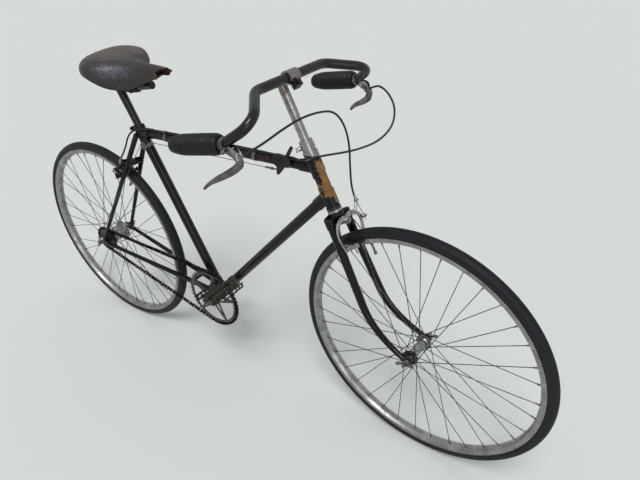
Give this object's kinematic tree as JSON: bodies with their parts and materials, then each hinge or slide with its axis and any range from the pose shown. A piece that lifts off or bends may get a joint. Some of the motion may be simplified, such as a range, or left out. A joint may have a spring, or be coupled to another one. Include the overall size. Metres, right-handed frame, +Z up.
{
  "type": "path racer bicycle",
  "caption": "Lugged steel roadster bicycle in path-racer form, with turned-down bar, wing nuts, caliper brakes and a hub gear.",
  "frame": {"origin": "middle of the saddle's top, where the rider's weight is carried", "axes": "+X forward, +Y to the rider's left, +Z up"},
  "size_m": [1.8544, 0.5324, 0.9948],
  "materials": {
    "frame_enamel": "gloss black stove enamel, chipped, with a worn gold panel on the head tube",
    "plated_steel": "dull nickel and chrome plate with light rust freckles",
    "rim_steel": "dull plated steel, grey with brake rub",
    "spoke_steel": "plain drawn steel wire",
    "hub_shell": "cleaned dull silver shell",
    "bar_enamel": "dark blued steel, glossy",
    "lever_steel": "browned steel with bright edges",
    "caliper_steel": "bright stamped steel, dulled",
    "drive_steel": "grey steel with brown oil stain",
    "chain_steel": "oily dark steel",
    "saddle_hide": "dark brown hide, polished by use, reddish and torn at the nose",
    "saddle_steel": "dark steel wire and clip",
    "grip_rubber": "soft black rubber, fine ribs",
    "block_rubber": "black rubber blocks",
    "cable_cover": "black cable casing",
    "tyre_rubber": "black rubber, ribbed tread, dusty"
  },
  "bodies": {
    "frame": {"head_tube": "frame_enamel", "head_lugs": "frame_enamel", "top_tube": "frame_enamel", "down_tube": "frame_enamel", "seat_tube": "frame_enamel", "seat_lug": "frame_enamel", "bottom_bracket": "frame_enamel", "bracket_cups": "plated_steel", "seat_stays": "frame_enamel", "chain_stays": "frame_enamel", "rear_ends": "plated_steel", "rear_axle": "plated_steel", "head_races": "plated_steel", "seat_post": "bar_enamel", "saddle_frame": "saddle_steel", "saddle_leather": "saddle_hide", "rear_brake": "lever_steel", "rear_blocks": "block_rubber", "rear_brake_cable": "cable_cover", "cable_clips": "plated_steel", "gear_trigger": "lever_steel", "gear_pulley": "lever_steel", "gear_wire": "spoke_steel", "chain": "chain_steel", "sprocket": "drive_steel"},
    "steering": {"fork_crown": "frame_enamel", "fork_blades": "frame_enamel", "head_nuts": "plated_steel", "stem": "plated_steel", "handlebar": "bar_enamel", "grips": "grip_rubber", "brake_levers": "lever_steel", "front_brake": "caliper_steel", "front_blocks": "block_rubber", "front_brake_cable": "cable_cover", "rear_cable_loop": "cable_cover", "front_axle": "plated_steel"},
    "front_wheel": {"front_tyre": "tyre_rubber", "front_rim": "rim_steel", "front_spokes": "spoke_steel", "front_hub": "plated_steel"},
    "rear_wheel": {"rear_tyre": "tyre_rubber", "rear_rim": "rim_steel", "rear_spokes": "spoke_steel", "rear_hub": "hub_shell"},
    "cranks": {"chainring": "drive_steel", "cranks": "drive_steel", "pedal_spindles": "plated_steel"},
    "right_pedal": {"pedal_right": "drive_steel"},
    "left_pedal": {"pedal_left": "drive_steel"}
  },
  "joints": [
    {"name": "steering_turn", "type": "hinge", "parent": "frame", "child": "steering", "pos_m": [0.64078, 0, -0.2825], "axis": [-0.4051, 0, 0.9143], "range_deg": [-55.7, 64.3], "deforming": ["rear_cable_loop"]},
    {"name": "front_wheel_spin", "type": "hinge", "parent": "steering", "child": "front_wheel", "pos_m": [0.87482, -0.00565, -0.62505], "axis": [0.0686, 0.9972, 0.0304], "continuous": true},
    {"name": "rear_wheel_spin", "type": "hinge", "parent": "frame", "child": "rear_wheel", "pos_m": [-0.29998, 0, -0.62497], "axis": [0, 1, 0], "continuous": true},
    {"name": "crank_turn", "type": "hinge", "parent": "frame", "child": "cranks", "pos_m": [0.19986, 0, -0.69697], "axis": [0, 1, 0], "continuous": true},
    {"name": "right_pedal_turn", "type": "hinge", "parent": "cranks", "child": "right_pedal", "pos_m": [0.31795, 0, -0.57468], "axis": [0, 1, 0], "continuous": true},
    {"name": "left_pedal_turn", "type": "hinge", "parent": "cranks", "child": "left_pedal", "pos_m": [0.08177, 0, -0.81925], "axis": [0, 1, 0], "continuous": true}
  ]
}
